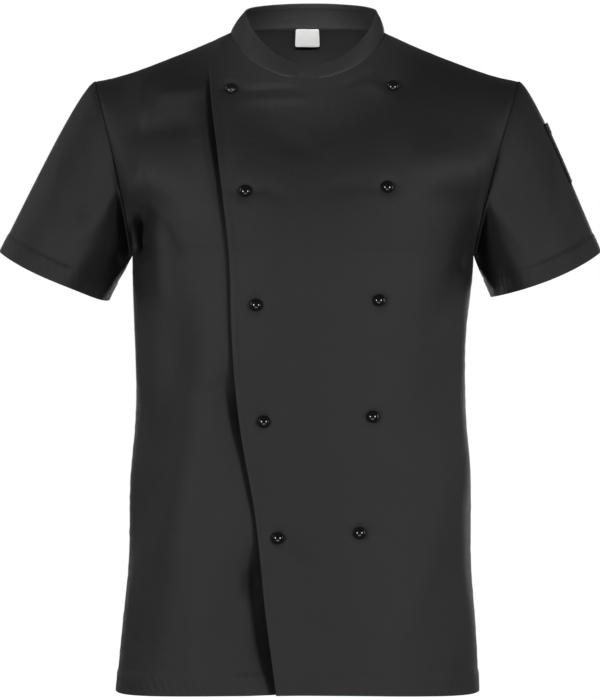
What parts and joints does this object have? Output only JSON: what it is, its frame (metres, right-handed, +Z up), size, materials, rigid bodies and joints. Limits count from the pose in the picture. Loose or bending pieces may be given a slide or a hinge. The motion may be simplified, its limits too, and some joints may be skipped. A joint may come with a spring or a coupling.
{
  "type": "chef jacket",
  "caption": "Short-sleeved double-breasted chef jacket with a stand collar and dome studs, hollow as worn, in black cloth.",
  "frame": {"origin": "base of the wearer's neck, level with the neck ends of the shoulder seams, inside the open neck", "axes": "+Z up, +X towards the wearer's left, the front faces -Y"},
  "size_m": [0.6582, 0.2524, 0.7606],
  "materials": {
    "cloth": "matt black poly-cotton twill",
    "stud": "polished black",
    "label": "plain white woven satin"
  },
  "bodies": {
    "root": {"back": "cloth", "front_right": "cloth", "front_left": "cloth", "sleeve_right": "cloth", "sleeve_left": "cloth", "collar": "cloth", "sleeve_pocket": "cloth", "neck_label": "label", "stud_edge_1": "stud", "stud_inner_1": "stud", "stud_edge_2": "stud", "stud_inner_2": "stud", "stud_edge_3": "stud", "stud_inner_3": "stud", "stud_edge_4": "stud", "stud_inner_4": "stud", "stud_edge_5": "stud", "stud_inner_5": "stud"}
  },
  "joints": []
}
